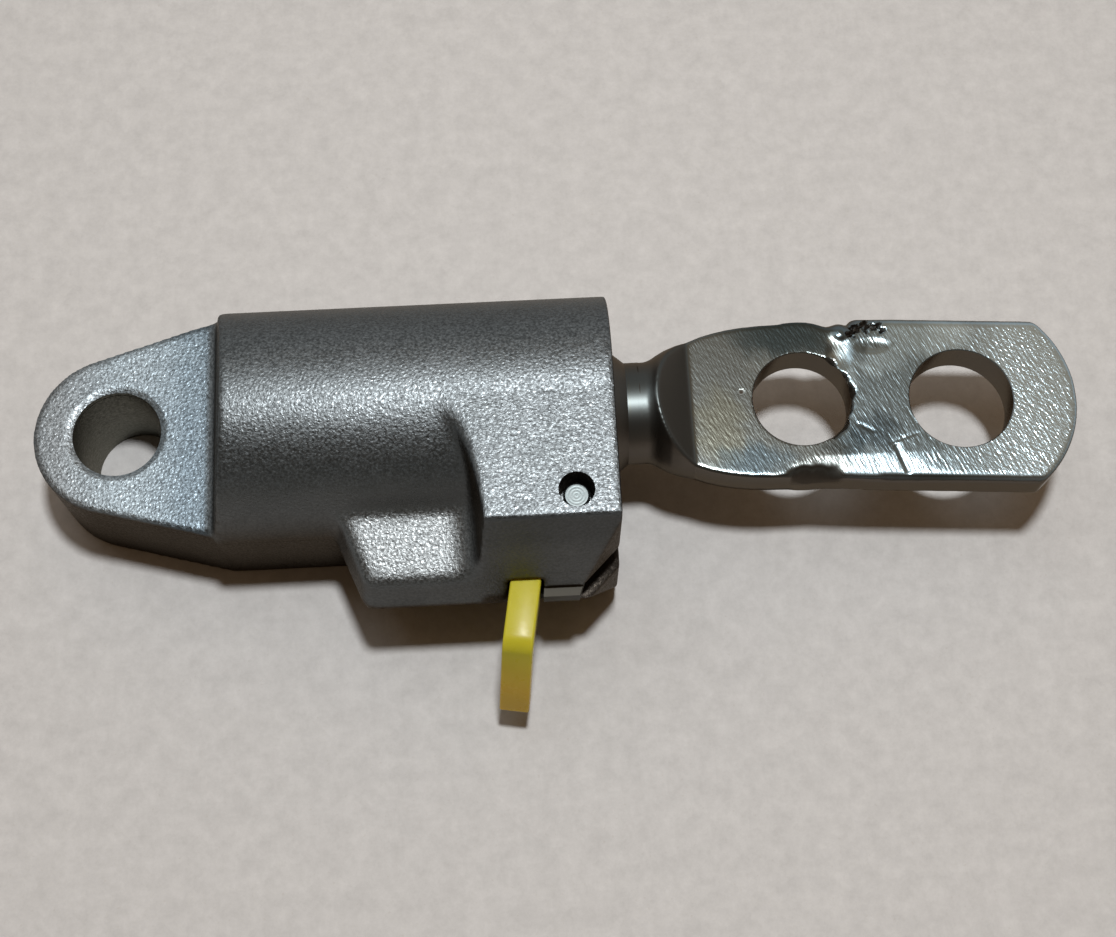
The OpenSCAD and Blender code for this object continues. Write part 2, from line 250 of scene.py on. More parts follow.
def plug(radius, low, high, centre):
    """Upright cylinder that closes a hole until it is drilled again."""
    return lathe("plug", [(radius, low), (radius, high)], (centre.x, centre.y, 0))


def prism(name, outline, low, high):
    """Closed solid over an outline in XY that runs counter-clockwise."""
    count = len(outline)
    mesh = bpy.data.meshes.new(name)
    sides = [(k, (k + 1) % count, (k + 1) % count + count, k + count) for k in range(count)]
    mesh.from_pydata([(x, y, z) for z in (low, high) for x, y in outline], [],
                     [tuple(range(count))[::-1], tuple(range(count, 2 * count)), *sides])
    return piece(name, mesh)


def finish_piece(obj, material, body, nodes, crease=35):
    obj.data.materials.clear()
    obj.data.materials.append(material)
    for face in obj.data.polygons:
        face.use_smooth = True
    obj.data.set_sharp_from_angle(angle=math.radians(crease))
    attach(obj, body)
    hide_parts(*nodes)


def rise(low, high, value):
    """0 up to low, 1 from high on, straight between them."""
    return np.clip((value - low) / (high - low), 0, 1)


# Node helpers

# Colour sockets of the Mix node
MIX_FIRST, MIX_SECOND, MIX_RESULT = 6, 7, 2
# Range in which most of a noise pattern lies
MOTTLE_LOW, MOTTLE_HIGH = 0.3, 0.7


class Bench:
    """Adds nodes to one tree and links them."""

    def __init__(self, tree):
        self.tree = tree

    def feed(self, socket, source):
        """Links a socket to an output, or gives it a plain value."""
        if isinstance(source, bpy.types.NodeSocket):
            self.tree.links.new(source, socket)
        elif socket.type == "RGBA":
            socket.default_value = (*source, 1)
        else:
            socket.default_value = source

    def add(self, kind, sockets=(), **settings):
        node = self.tree.nodes.new(kind)
        for key, value in settings.items():
            setattr(node, key, value)
        for name, source in dict(sockets).items():
            self.feed(node.inputs[name], source)
        return node.outputs

    def calc(self, operation, first, second=0.0, clamp=False):
        return self.add("ShaderNodeMath", {0: first, 1: second},
                        operation=operation, use_clamp=clamp)["Value"]

    def ranged(self, value, low, high, to_low=0.0, to_high=1.0):
        return self.add("ShaderNodeMapRange", {
            "Value": value, "From Min": low, "From Max": high,
            "To Min": to_low, "To Max": to_high})["Result"]

    def ramp(self, value, *stops):
        """Runs between two colours, each given with its spot."""
        node = self.tree.nodes.new("ShaderNodeValToRGB")
        self.feed(node.inputs["Fac"], value)
        for point, (spot, colour) in zip(node.color_ramp.elements, stops):
            point.position = spot
            point.color = (*colour, 1)
        return node.outputs["Color"]

    def blend(self, share, first, second):
        return self.add("ShaderNodeMix", {"Factor": share, MIX_FIRST: first, MIX_SECOND: second},
                        data_type="RGBA")[MIX_RESULT]


class Finish(Bench):
    """One procedural material on Object coordinates."""

    def __init__(self, name):
        self.material = bpy.data.materials.new(name)
        self.material.use_nodes = True
        super().__init__(self.material.node_tree)
        self.shader = self.tree.nodes["Principled BSDF"]
        self.place = self.add("ShaderNodeTexCoord")["Object"]

    def shade(self, **sockets):
        """Sets the shader's sockets and gives the finished material."""
        for name, source in sockets.items():
            self.feed(self.shader.inputs[name.replace("_", " ")], source)
        return self.material

    def axis(self, name):
        return self.add("ShaderNodeSeparateXYZ", {"Vector": self.place})[name]

    def stored(self, name, output):
        return self.add("ShaderNodeAttribute", attribute_name=name)[output]

    def mapped(self, scale, turn=0.0, shift=(0, 0, 0)):
        """Object place turned about Z by some degrees, then stretched and shifted."""
        turned = self.add("ShaderNodeMapping", {
            "Vector": self.place, "Rotation": (0, 0, math.radians(turn))})["Vector"]
        return self.add("ShaderNodeMapping", {
            "Vector": turned, "Location": shift, "Scale": scale})["Vector"]

    def reach_from(self, centre):
        """Distance from an upright axis."""
        spot = self.mapped((1, 1, 0), shift=(-centre.x, -centre.y, 0))
        return self.add("ShaderNodeVectorMath", {0: spot}, operation="LENGTH")["Value"]

    def noise(self, place, scale, detail=2.0, rough=0.5, warp=0.0):
        return self.add("ShaderNodeTexNoise", {
            "Vector": place, "Scale": scale, "Detail": detail, "Roughness": rough,
            "Distortion": warp})["Fac"]

    def mottle(self, pattern, first, second):
        """Colour that wanders between two with a pattern."""
        return self.ramp(pattern, (MOTTLE_LOW, first), (MOTTLE_HIGH, second))

    def spread(self, pattern, first, second):
        """Value that wanders between two with a pattern."""
        return self.ranged(pattern, MOTTLE_LOW, MOTTLE_HIGH, first, second)

    def bump(self, height, depth, normal=None):
        sockets = {"Height": height, "Distance": depth, "Strength": 1.0}
        if normal:
            sockets["Normal"] = normal
        return self.add("ShaderNodeBump", sockets)["Normal"]

    def facing_up(self, low, high):
        """Share of a face that looks up: 0 on walls, 1 on upper faces."""
        normal = self.add("ShaderNodeNewGeometry")["Normal"]
        return self.ranged(self.add("ShaderNodeSeparateXYZ", {"Vector": normal})["Z"], low, high)


class Grower(Bench):
    """Geometry Nodes tree with named inputs that ends in one painted mesh."""

    def __init__(self, name, inputs):
        super().__init__(bpy.data.node_groups.new(name, "GeometryNodeTree"))
        for label, (kind, value) in inputs.items():
            self.tree.interface.new_socket(label, in_out="INPUT", socket_type=kind).default_value = value
        self.tree.interface.new_socket("Steel", in_out="INPUT", socket_type="NodeSocketMaterial")
        self.tree.interface.new_socket("Geometry", in_out="OUTPUT", socket_type="NodeSocketGeometry")
        self.inputs = self.add("NodeGroupInput")

    def end(self, mesh):
        real = self.add("GeometryNodeRealizeInstances", {"Geometry": mesh})["Geometry"]
        painted = self.add("GeometryNodeSetMaterial", {
            "Geometry": real, "Material": self.inputs["Steel"]})["Geometry"]
        self.add("NodeGroupOutput", {"Geometry": painted})
        return self.tree


def grown(name, tree, values):
    """A plain mesh grown by a tree, with its named inputs set."""
    obj = piece(name, bpy.data.meshes.new(name))
    grow = obj.modifiers.new("grow", "NODES")
    grow.node_group = tree
    for item in tree.interface.items_tree:
        if item.in_out == "INPUT" and item.name in values:
            grow[item.identifier] = values[item.name]
    settle(obj)
    return obj


# Finishes

STROKE_TURN = 66
END_TURN = 32
PIN_RING = 0.3 * MM


def blasted_aluminium():
    """Bead-blasted casting: fine bright and dark grains above, smoother on its walls, with painted light
    and shade: painted shade on the walls and crown, a painted reflection in the eye bore, a painted
    shadow under the block and painted light on the lug.
    """
    f = Finish("blasted_aluminium")
    along, height = f.axis("X"), f.axis("Z")
    tint = f.noise(f.place, 140, 3.0, 0.55)

    # Painted shade and light: the crown and the block top get a darker colour, and the pad and barrel
    # sides below them a lighter one, to even out how the lamp lights them.
    crown = f.mottle(tint, (0.120, 0.137, 0.148), (0.141, 0.160, 0.174))
    below = f.mottle(tint, (0.160, 0.177, 0.187), (0.188, 0.206, 0.217))
    barrel = f.blend(f.ranged(height, top_z - 3 * MM, top_z - 5 * MM), crown, below)
    # Painted light: the lug gets a lighter, bluish colour, strongest on its middle and weaker at its
    # end, with painted shade where it meets the barrel.
    tip = f.mottle(tint, (0.165, 0.184, 0.198), (0.202, 0.222, 0.238))
    lug_painted_light = f.mottle(tint, (0.215, 0.258, 0.290), (0.262, 0.310, 0.344))
    foot = f.mottle(tint, (0.126, 0.162, 0.194), (0.158, 0.200, 0.232))
    lug = f.blend(f.ranged(along, -6 * MM, 0.0), tip, lug_painted_light)
    lug = f.blend(f.ranged(along, 2 * MM, 7 * MM), lug, foot)
    light_toned_base = f.blend(f.ranged(along, BARREL_X, BARREL_X - MM), barrel, lug)

    even = f.facing_up(0.95, 0.55)
    grit = f.ranged(f.noise(f.place, 3700, 1.5), 0.34, 0.66, 0.60, 1.40)
    grit = f.calc("ADD", f.calc("MULTIPLY", grit, f.calc("SUBTRACT", 1.0, even)), even)
    blasted = f.add("ShaderNodeVectorMath", {0: light_toned_base, 1: grit}, operation="MULTIPLY")["Vector"]

    # Painted shade: walls take a dark brown in place of the blasted colour, which only faces that look
    # up keep.
    walls = f.mottle(tint, (0.051, 0.042, 0.033), (0.067, 0.057, 0.046))
    # Painted reflection: the wall of the lug's eye bore gets a lighter grey.
    bore_painted_reflection = f.ranged(f.reach_from(eye), eye_r + 0.15 * MM, eye_r + 0.05 * MM)
    walls = f.blend(bore_painted_reflection, walls, (0.178, 0.178, 0.154))
    # Painted shadow: below the parting line and past the block's start, faces lose the blasted colour,
    # and those that look up turn nearly black.
    lip_shadow_zone = f.calc("MULTIPLY", f.ranged(height, part_z + 1.5 * MM, part_z + 0.5 * MM),
                 f.ranged(along, block_x - MM, block_x))
    upper = f.calc("SUBTRACT", f.facing_up(0.06, 0.70), lip_shadow_zone, clamp=True)
    ledge_painted_shadow = f.calc("MULTIPLY", lip_shadow_zone, f.facing_up(0.3, 0.8))
    colour = f.blend(ledge_painted_shadow, f.blend(upper, walls, blasted), (0.026, 0.023, 0.020))

    ridge = f.calc("ABSOLUTE", f.calc("SUBTRACT", height, part_z))
    seam = f.bump(f.ranged(ridge, 0.0, 0.16 * MM, 1.0, 0.0), 0.05 * MM)
    grain = f.bump(f.noise(f.place, 3300, 2.0, 0.6), 0.066 * MM, seam)
    fleck = f.ranged(f.noise(f.place, 3900, 1.0), 0.35, 0.65, 0.54, 0.33)
    return f.shade(Base_Color=colour, Roughness=fleck, Normal=grain, Metallic=1.0,
                   Specular_Tint=(0.62, 0.58, 0.54))


def ram_steel():
    """Turned neck and shank, milled head with heat tint, plate and weld ground by hand. Light and shade
    are painted into its colour: a darker neck, dark brown side faces, dark eye bores, grey patches of
    sheen and shade, and a plate that grows lighter towards its far end.
    """
    f = Finish("ram_steel")
    along = f.axis("X")
    # This value darkens the weld's burnt places and also, as painted shade, the walls of the eye bores.
    burn_and_bore_shade = f.stored("burn_and_bore_shade", "Fac")
    flat = f.ranged(along, end_x + FLARE_RUN, end_x + FLARE_RUN + 0.3 * MM)
    rag = f.calc("MULTIPLY", f.calc("SUBTRACT", f.noise(f.place, 420, 2.0), 0.5), 5 * MM)
    ground = f.ranged(f.calc("ADD", along, rag), weld_x - 2.2 * MM, weld_x - 1.2 * MM)
    far = f.ranged(along, plate_high.x - 15 * MM, plate_high.x - 6 * MM)

    # Painted sheen: the plate's colour grows much lighter towards its far end.
    plate = f.blend(far, (0.180, 0.235, 0.265), (0.50, 0.645, 0.74))
    face = f.blend(ground, (0.150, 0.172, 0.174), plate)
    # Painted shade: the shank, neck and flare, in front of the milled face, get a darker colour.
    face = f.blend(flat, (0.076, 0.089, 0.092), face)
    # The stored tone adds painted sheen and shade, and heat tint, to the face colour.
    sheen_and_tint_toned = f.add("ShaderNodeVectorMath", {0: face, 1: f.stored("tone", "Vector"), 2: face},
                  operation="MULTIPLY_ADD")["Vector"]
    # Painted shade: faces that do not look up take a dull brown in place of the steel's colour.
    colour = f.blend(f.facing_up(0.55, 0.97), (0.122, 0.106, 0.090), sheen_and_tint_toned)
    colour = f.blend(burn_and_bore_shade, colour, (0.035, 0.027, 0.020))

    rings = f.noise(f.mapped((9000, 60, 60)), 1.0, 2.0)
    turned = f.calc("MULTIPLY", rings, f.ranged(flat, 0.0, 1.0, 0.15, 0.0))
    milled = f.noise(f.mapped((1100, 4200, 900), STROKE_TURN), 1.0, 2.0, 0.5)
    milled = f.calc("MULTIPLY", f.calc("MULTIPLY", milled, flat), f.ranged(ground, 0.0, 1.0, 1.8, 0.0))
    strokes = f.noise(f.mapped((650, 4000, 900), STROKE_TURN), 1.0, 2.0, 0.55, 0.3)
    slant = f.noise(f.mapped((1200, 3600, 900), END_TURN), 1.0, 2.0, 0.55)
    hand = f.calc("ADD", strokes, f.calc("MULTIPLY", slant, far))
    ridges = f.calc("ADD", milled, f.calc("MULTIPLY", f.calc("MULTIPLY", hand, ground), 2.4))
    calm = f.calc("MULTIPLY", f.facing_up(0.6, 0.95), f.ranged(burn_and_bore_shade, 0.0, 0.4, 1.0, 0.0))
    marks = f.calc("ADD", turned, f.calc("MULTIPLY", ridges, calm))

    rough = f.calc("ADD", f.ranged(flat, 0.0, 1.0, 0.38, 0.21), f.calc("MULTIPLY", burn_and_bore_shade, 0.4))
    return f.shade(Base_Color=colour, Roughness=rough, Normal=f.bump(marks, 0.012 * MM),
                   Metallic=1.0, Specular_Tint=(0.55, 0.51, 0.46))


def pin_steel():
    """Pin end with rings left by the turning tool."""
    f = Finish("pin_steel")
    rings = f.calc("SINE", f.calc("MULTIPLY", f.reach_from(pin_axis), 2 * math.pi / PIN_RING))
    fleck = f.noise(f.place, 5000, 2.0)
    marks = f.calc("ADD", f.calc("MULTIPLY", rings, 0.5), fleck)
    return f.shade(Base_Color=f.mottle(fleck, (0.098, 0.118, 0.124), (0.170, 0.196, 0.205)),
                   Normal=f.bump(marks, 0.006 * MM), Roughness=f.spread(fleck, 0.38, 0.5), Metallic=1.0)


def pawl_steel():
    """Stamped lever with a dull grey phosphate coat, rubbed in places."""
    f = Finish("pawl_steel")
    rub = f.noise(f.mapped((500, 500, 4200)), 1.0, 2.0)
    return f.shade(Base_Color=f.mottle(rub, (0.062, 0.060, 0.050), (0.082, 0.080, 0.069)),
                   Normal=f.bump(rub, 0.008 * MM), Roughness=f.spread(rub, 0.55, 0.7),
                   Specular_IOR_Level=0.2)


def spring_steel():
    """Oiled spring wire."""
    f = Finish("spring_steel")
    film = f.noise(f.place, 700, 3.0)
    return f.shade(Base_Color=f.mottle(film, (0.20, 0.20, 0.21), (0.34, 0.34, 0.35)),
                   Roughness=f.spread(film, 0.25, 0.4), Metallic=1.0)


def yellow_plastic():
    """Moulded tab of soft yellow plastic that light enters, painted a shaded ochre towards the tip of
    its leg.
    """
    f = Finish("yellow_plastic")
    swirl = f.noise(f.place, 260, 3.0)
    fresh = f.mottle(swirl, (0.445, 0.410, 0.028), (0.490, 0.455, 0.038))
    # Painted shade: the leg turns ochre towards its tip.
    shaded_ochre = f.mottle(swirl, (0.59, 0.405, 0.034), (0.66, 0.455, 0.044))
    leg = f.ranged(f.axis("Z"), tab_high.z - MM, tab_low.z + 4 * MM)
    return f.shade(Base_Color=f.blend(leg, fresh, shaded_ochre),
                   Normal=f.bump(f.noise(f.place, 2600, 2.0), 0.004 * MM),
                   Roughness=f.spread(f.noise(f.place, 900, 2.0), 0.25, 0.33),
                   Subsurface_Weight=0.4, Subsurface_Scale=1.2 * MM,
                   Subsurface_Radius=(1.0, 0.75, 0.2), Specular_IOR_Level=0.16, IOR=1.5)


def pale_board():
    """Plain pale table top with a faint fibre."""
    f = Finish("pale_board")
    pale = f.mottle(f.noise(f.place, 420, 6.0, 0.8), (0.440, 0.447, 0.455), (0.561, 0.570, 0.580))
    speck = f.ranged(f.noise(f.place, 2200, 2.0), 0.66, 0.80, 0.0, 0.35)
    return f.shade(Base_Color=f.blend(speck, pale, (0.38, 0.36, 0.34)), Roughness=0.7)


# Housing

EYE_BREAK = 0.3 * MM
FLOOR_GAP = 0.005 * MM
PAD_START = 20 * MM
CAST_PASSES = 2
FOOT_PASSES = 10
PAD_PASSES = 22


def foot_share(points):
    """The step from the lug up to the barrel has a soft foot."""
    x, _, z = points.T
    near = 1 - rise(0.8 * MM, 2.2 * MM, np.abs(x - (BARREL_X + 0.3 * MM)))
    above = rise(LUG_Z - 0.8 * MM, LUG_Z - 0.2 * MM, z)
    below = 1 - rise(LUG_Z + 3 * MM, LUG_Z + 6 * MM, z)
    return near * above * below


def pad_share(points):
    """The pad runs softly into the barrel, and the sweep fades out near the crown."""
    x, y, z = points.T
    above = rise(part_z + 0.5 * MM, part_z + 2 * MM, z)
    before = 1 - rise(block_x - 1.5 * MM, block_x - 0.3 * MM, x)
    beside = rise(PAD_START, PAD_START + 3 * MM, x) * before
    return above * beside * rise(-0.5 * MM, -2 * MM, y)


def make_housing(material):
    """The casting with soft edges. Its eye and pin hole are drilled again, with sharp rims."""
    housing = merged_copy("cast_housing", "housing")
    block_top = top_z - BLOCK_DROP
    plug_low = block_top - PIN_HOLE_DEPTH - MM
    swallow(housing, plug(PIN_HOLE_D * 0.55, plug_low, block_top, pin_axis))
    swallow(housing, plug(eye_r * 1.12, 0, LUG_Z, eye))
    recast(housing, HOUSING_GRAIN)
    soften(housing, CAST_PASSES)
    soften(housing, FOOT_PASSES, foot_share)
    soften(housing, PAD_PASSES, pad_share)
    points = points_of(housing)
    points[:, 2] = np.maximum(points[:, 2], FLOOR_GAP)
    put_points(housing, points)
    hole_floor = top_z - PIN_HOLE_DEPTH
    combine(housing, lathe("drill", [
        (PIN_BORE_D / 2, plug_low - MM), (PIN_BORE_D / 2, hole_floor),
        (PIN_HOLE_D / 2, hole_floor), (PIN_HOLE_D / 2, top_z + MM)],
        (pin_axis.x, pin_axis.y, 0)), "DIFFERENCE")
    rim_r = eye_r + 2 * EYE_BREAK
    combine(housing, lathe("drill", [
        (eye_r, -MM), (eye_r, LUG_Z - EYE_BREAK), (rim_r, LUG_Z), (rim_r, LUG_Z + MM)],
        (eye.x, eye.y, 0)), "DIFFERENCE")
    finish_piece(housing, material, "body", ["housing"])


# Weld and grinding marks, heat tint and painted sheen and shade on the upper face of the head and the
# plate, in millimetres

# The front edge is ground off at a slope near the weld
FRONT_GRIND_Y = -6.3
FRONT_GRIND_SLOPE = math.tan(math.radians(6))
# Shallow dishes by middle and half widths: the first falls off from one line, the other is round
SLOPED_DISH = (74.1, 5.1, 1.5, 2.4)
SLOPED_DISH_Y = 6.9
SLOPED_DISH_FALL = 0.06
ROUND_DISH = (77.5, 5.5, 2.1, 0.95)
ROUND_DISH_DEPTH = 0.09
# Scratches by start, end, width and depth
GOUGE = ((78.8, -5.7), (79.7, -8.2))
SCRATCHES = [(*GOUGE, 0.42, 0.10), ((78.2, -5.2), (81.0, -4.3), 0.2, 0.04),
             ((75.2, -3.0), (76.7, -3.9), 0.2, 0.04)]
# Pits by middle, radius and depth, and a dark dot on the head
PITS = [(75.4, 6.9, 0.5, 0.5), (76.1, 7.5, 0.45, 0.45), (76.9, 7.9, 0.5, 0.45),
        (77.6, 7.5, 0.4, 0.4), (78.2, 7.7, 0.4, 0.35), (78.7, 7.2, 0.35, 0.3),
        (75.7, 7.9, 0.35, 0.35), (77.1, 7.1, 0.3, 0.3)]
DOT = (63.6, 1.0, 0.4, 0.4)
# The bite in the front edge: its ends, where it starts to fade, and its line
NOTCH = (67.8, 73.3)
NOTCH_FADE = 70.2
NOTCH_Y = -7.5
# Slope of the bite and of the torn rim of the head's eye
TORN_SLOPE = 1.3
# Patches of painted sheen and painted shade in grey, and of heat tint in colour: middle, half widths,
# change of red, green and blue
SHEEN_AND_TINT_PATCHES = [
    (74.0, 5.0, 1.2, 2.1, (1.3, 1.3, 1.3)), (74.9, 2.4, 1.1, 2.3, (0.7, 0.7, 0.7)),
    (77.9, 3.6, 2.9, 1.8, (0.7, 0.7, 0.7)), (78.0, 5.7, 2.0, 0.85, (-0.5, -0.55, -0.6)),
    (82.5, 6.6, 6.0, 3.6, (0.9, 0.9, 0.9)),
    (73.6, -5.2, 2.7, 2.0, (-0.5, -0.48, -0.47)), (76.9, -3.9, 3.2, 2.7, (-0.5, -0.48, -0.46)),
    (76.5, -8.1, 5.6, 1.6, (0.5, 0.5, 0.5)), (68.8, 7.3, 7.5, 4.2, (-0.62, -0.54, -0.50)),
    (61.2, -2.6, 3.6, 5.4, (0.10, 0.04, -0.10)), (64.2, -6.6, 5.2, 2.6, (-0.34, -0.22, -0.10)),
    (65.6, 4.5, 1.6, 1.6, (0.25, 0.25, 0.25))]
DARKEST = -0.8


def soft_step(value):
    return value * value * (3 - 2 * value)


def oval(points, x, y, half_x, half_y):
    """Share of an oval dip or rise: 1 in its middle, 0 at its rim."""
    spread = ((points[:, 0] / MM - x) / half_x) ** 2 + ((points[:, 1] / MM - y) / half_y) ** 2
    return np.clip(1 - spread, 0, 1)


def stroke(points, start, end, width):
    """Share of a straight scratch from start to end."""
    start, end = np.array(start), np.array(end)
    run = end - start
    off = points[:, :2] / MM - start
    along = np.clip(off @ run / (run @ run), 0, 1)
    gap = np.linalg.norm(off - along[:, None] * run, axis=1)
    return np.clip(1 - gap / width, 0, 1)


def moved(points, aside_x, aside_y):
    """Points moved aside by some millimetres, so that the rim of a mark wanders."""
    return points + np.stack((aside_x, aside_y, 0 * aside_x), axis=1) * MM


def face_sheen_and_tint(points):
    """Change of the face's colour from its plain tone: painted sheen and shade, and heat tint."""
    tone = np.zeros((len(points), 3))
    x, y = points[:, 0] / MM, points[:, 1] / MM
    wandering = moved(points, 0.35 * np.sin(1.9 * y + 0.7 * x) + 0.2 * np.sin(4.3 * y),
                      0.35 * np.sin(1.7 * x + 0.9 * y) + 0.2 * np.sin(4.7 * x))
    for *patch, change in SHEEN_AND_TINT_PATCHES:
        share = soft_step(oval(wandering, *patch))
        tone += share[:, None] * np.array(change)
    return np.maximum(tone, DARKEST)


def eye_tear(x, y):
    """How far the torn rim of the head's eye, on the weld's side, reaches past a place."""
    off_x, off_y = x - head_eye.x / MM, y - head_eye.y / MM
    angle = np.arctan2(off_y, off_x)
    rag = 0.28 + 0.16 * np.sin(7 * angle + 0.6) + 0.11 * np.sin(17 * angle)
    rag = rag * soft_step(rise(-1.25, -0.9, angle)) * (1 - soft_step(rise(0.85, 1.15, angle)))
    return np.clip(rag - (np.hypot(off_x, off_y) - head_eye_r / MM), 0, None)


def notch_reach(x, y):
    """How far a place lies inside the bite in the front edge."""
    rim = NOTCH_Y + 0.14 * np.sin(4.1 * x) + 0.07 * np.sin(8.3 * x + 1)
    along = rise(NOTCH[0], NOTCH[0] + 0.8, x) * (1 - rise(NOTCH_FADE, NOTCH[1], x))
    return along * np.maximum(0, rim - y)


def face_depth(points):
    """How far grinding and weld faults lower the upper face, and how burnt it is there."""
    x, y = points[:, 0] / MM, points[:, 1] / MM
    near_weld = soft_step(rise(69, 71.5, x)) * (1 - soft_step(rise(77, 86, x)))
    depth = near_weld * FRONT_GRIND_SLOPE * np.maximum(0, FRONT_GRIND_Y - y)
    sloped = soft_step(oval(points, *SLOPED_DISH))
    depth += sloped * SLOPED_DISH_FALL * np.maximum(0, SLOPED_DISH_Y - y)
    depth += ROUND_DISH_DEPTH * soft_step(oval(points, *ROUND_DISH))
    for start, end, width, fall in SCRATCHES:
        depth += fall * stroke(points, start, end, width)
    burn_and_bore_shade = 0.35 * stroke(points, *GOUGE, 0.3)
    uneven = moved(points, 0.16 * np.sin(8.5 * y + 2 * x), 0.16 * np.sin(7.4 * x - 3 * y))
    for pit_x, pit_y, radius, fall in PITS:
        share = soft_step(oval(uneven, pit_x, pit_y, radius, radius))
        depth += fall * share
        burn_and_bore_shade = np.maximum(burn_and_bore_shade, share)
    burn_and_bore_shade = np.maximum(burn_and_bore_shade, soft_step(oval(points, *DOT)))
    notch, tear = notch_reach(x, y), eye_tear(x, y)
    depth += TORN_SLOPE * notch
    depth += TORN_SLOPE * tear
    burn_and_bore_shade = np.maximum(burn_and_bore_shade, np.clip(notch * 2.2, 0, 0.6))
    burn_and_bore_shade = np.maximum(burn_and_bore_shade, np.clip(tear * 3, 0, 0.9))
    return depth * MM, burn_and_bore_shade


def grind_face(obj):
    """Lowers the points of the upper face, and marks its burnt places and its tones of painted sheen,
    painted shade and heat tint.
    """
    points = points_of(obj)
    depth, burn_and_bore_shade = face_depth(points)
    upper = rise(axis_z + 0.1 * MM, face_z - 0.3 * MM, points[:, 2])
    points[:, 2] -= depth * upper
    put_points(obj, points)
    mark(obj, "burn_and_bore_shade", "FLOAT", "value", burn_and_bore_shade * upper)
    mark(obj, "tone", "FLOAT_VECTOR", "vector", face_sheen_and_tint(points) * upper[:, None])


# Plunger

WELD_HALF = 0.8 * MM
RIM_BREAK = 0.1 * MM
FRONT_BREAK = 0.1 * MM
FILL_REACH = 5.5 * MM
FILL_FORE = 1.5 * MM
FILL_INNER_Y = -6 * MM
FILL_LIFT = 0.4 * MM
EYE_BORE_SHADE = 0.5
SKIN_PASSES = 5
LUMP_PASSES = 20
NOTCH_PASSES = 14
SHANK_OVERLAP = 1.5 * MM
SHANK_SWELL = 0.015 * MM
SHANK_STEP = 0.1 * MM
SHANK_CHAMFER = 0.6 * MM
# Share of a tooth's pitch where its slope ends, and how much of the pitch it takes
TOOTH_SLOPE_END = 0.85
TOOTH_SLOPE_RUN = 0.55


def shank_tree():
    """Shank turned along X: a line whose radius follows the ratchet grooves."""
    sizes = {
        "Rear": plunger_low.x, "Front": end_x + NECK_RUN + SHANK_OVERLAP, "Shoulder": end_x,
        "Radius": SHANK_D / 2, "Neck": NECK_D / 2 + SHANK_SWELL, "Taper": NECK_RUN,
        "Groove": end_x - TOOTH_END, "Pitch": TOOTH_PITCH, "Depth": TOOTH_DEPTH,
        "Teeth": float(TOOTH_COUNT), "Step": SHANK_STEP, "Chamfer": SHANK_CHAMFER, "Height": axis_z}
    g = Grower("ratchet_shank", {name: ("NodeSocketFloat", value) for name, value in sizes.items()})
    size = g.inputs
    start = g.add("ShaderNodeCombineXYZ", {"X": size["Rear"], "Z": size["Height"]})["Vector"]
    stop = g.add("ShaderNodeCombineXYZ", {"X": size["Front"], "Z": size["Height"]})["Vector"]
    line = g.add("GeometryNodeCurvePrimitiveLine", {"Start": start, "End": stop})["Curve"]
    line = g.add("GeometryNodeResampleCurve", {"Curve": line, "Length": size["Step"]},
                 mode="LENGTH")["Curve"]
    place = g.add("GeometryNodeInputPosition")["Position"]
    x = g.add("ShaderNodeSeparateXYZ", {"Vector": place})["X"]

    turns = g.calc("DIVIDE", g.calc("SUBTRACT", size["Groove"], x), size["Pitch"])
    inside = g.calc("MULTIPLY", g.calc("GREATER_THAN", turns, 0.0),
                    g.calc("LESS_THAN", turns, size["Teeth"]))
    left = g.calc("SUBTRACT", TOOTH_SLOPE_END, g.calc("FRACT", turns))
    slope = g.calc("DIVIDE", left, TOOTH_SLOPE_RUN, clamp=True)
    groove = g.calc("MULTIPLY", g.calc("MULTIPLY", slope, size["Depth"]), inside)
    rear = g.calc("SUBTRACT", size["Chamfer"], g.calc("SUBTRACT", x, size["Rear"]))
    rear = g.calc("MAXIMUM", rear, 0.0)
    run = g.calc("DIVIDE", g.calc("SUBTRACT", x, size["Shoulder"]), size["Taper"], clamp=True)
    fall = g.calc("MULTIPLY", run, g.calc("SUBTRACT", size["Radius"], size["Neck"]))
    radius = size["Radius"]
    for loss in (groove, rear, fall):
        radius = g.calc("SUBTRACT", radius, loss)

    ring = g.add("GeometryNodeCurvePrimitiveCircle", {"Resolution": 96, "Radius": 1.0})["Curve"]
    return g.end(g.add("GeometryNodeCurveToMesh", {
        "Curve": line, "Profile Curve": ring, "Scale": radius, "Fill Caps": True})["Mesh"])


def neck_half(obj, cut_x):
    """Keeps what lies in front of the neck and closes it there."""
    with opened(obj.data) as shell:
        bmesh.ops.bisect_plane(shell, geom=shell.verts[:] + shell.edges[:] + shell.faces[:],
                               plane_co=(cut_x, 0, 0), plane_no=(1, 0, 0), clear_inner=True)
        bmesh.ops.contextual_create(shell, geom=[edge for edge in shell.edges if edge.is_boundary])


def lump_share(points):
    """The back end of the weld is ground down."""
    x, y, _ = points.T
    near = 1 - rise(2.5 * MM, 4 * MM, np.abs(x - weld_x))
    return near * rise(6.5 * MM, 7.5 * MM, y)


def notch_share(points):
    """The bite in the front edge is smoothed after it is ground."""
    x, y, z = points.T
    along = rise(66.5 * MM, 67.5 * MM, x) * (1 - rise(75 * MM, 77 * MM, x))
    return along * rise(-6.4 * MM, -7.2 * MM, y) * rise(axis_z - MM, axis_z, z)


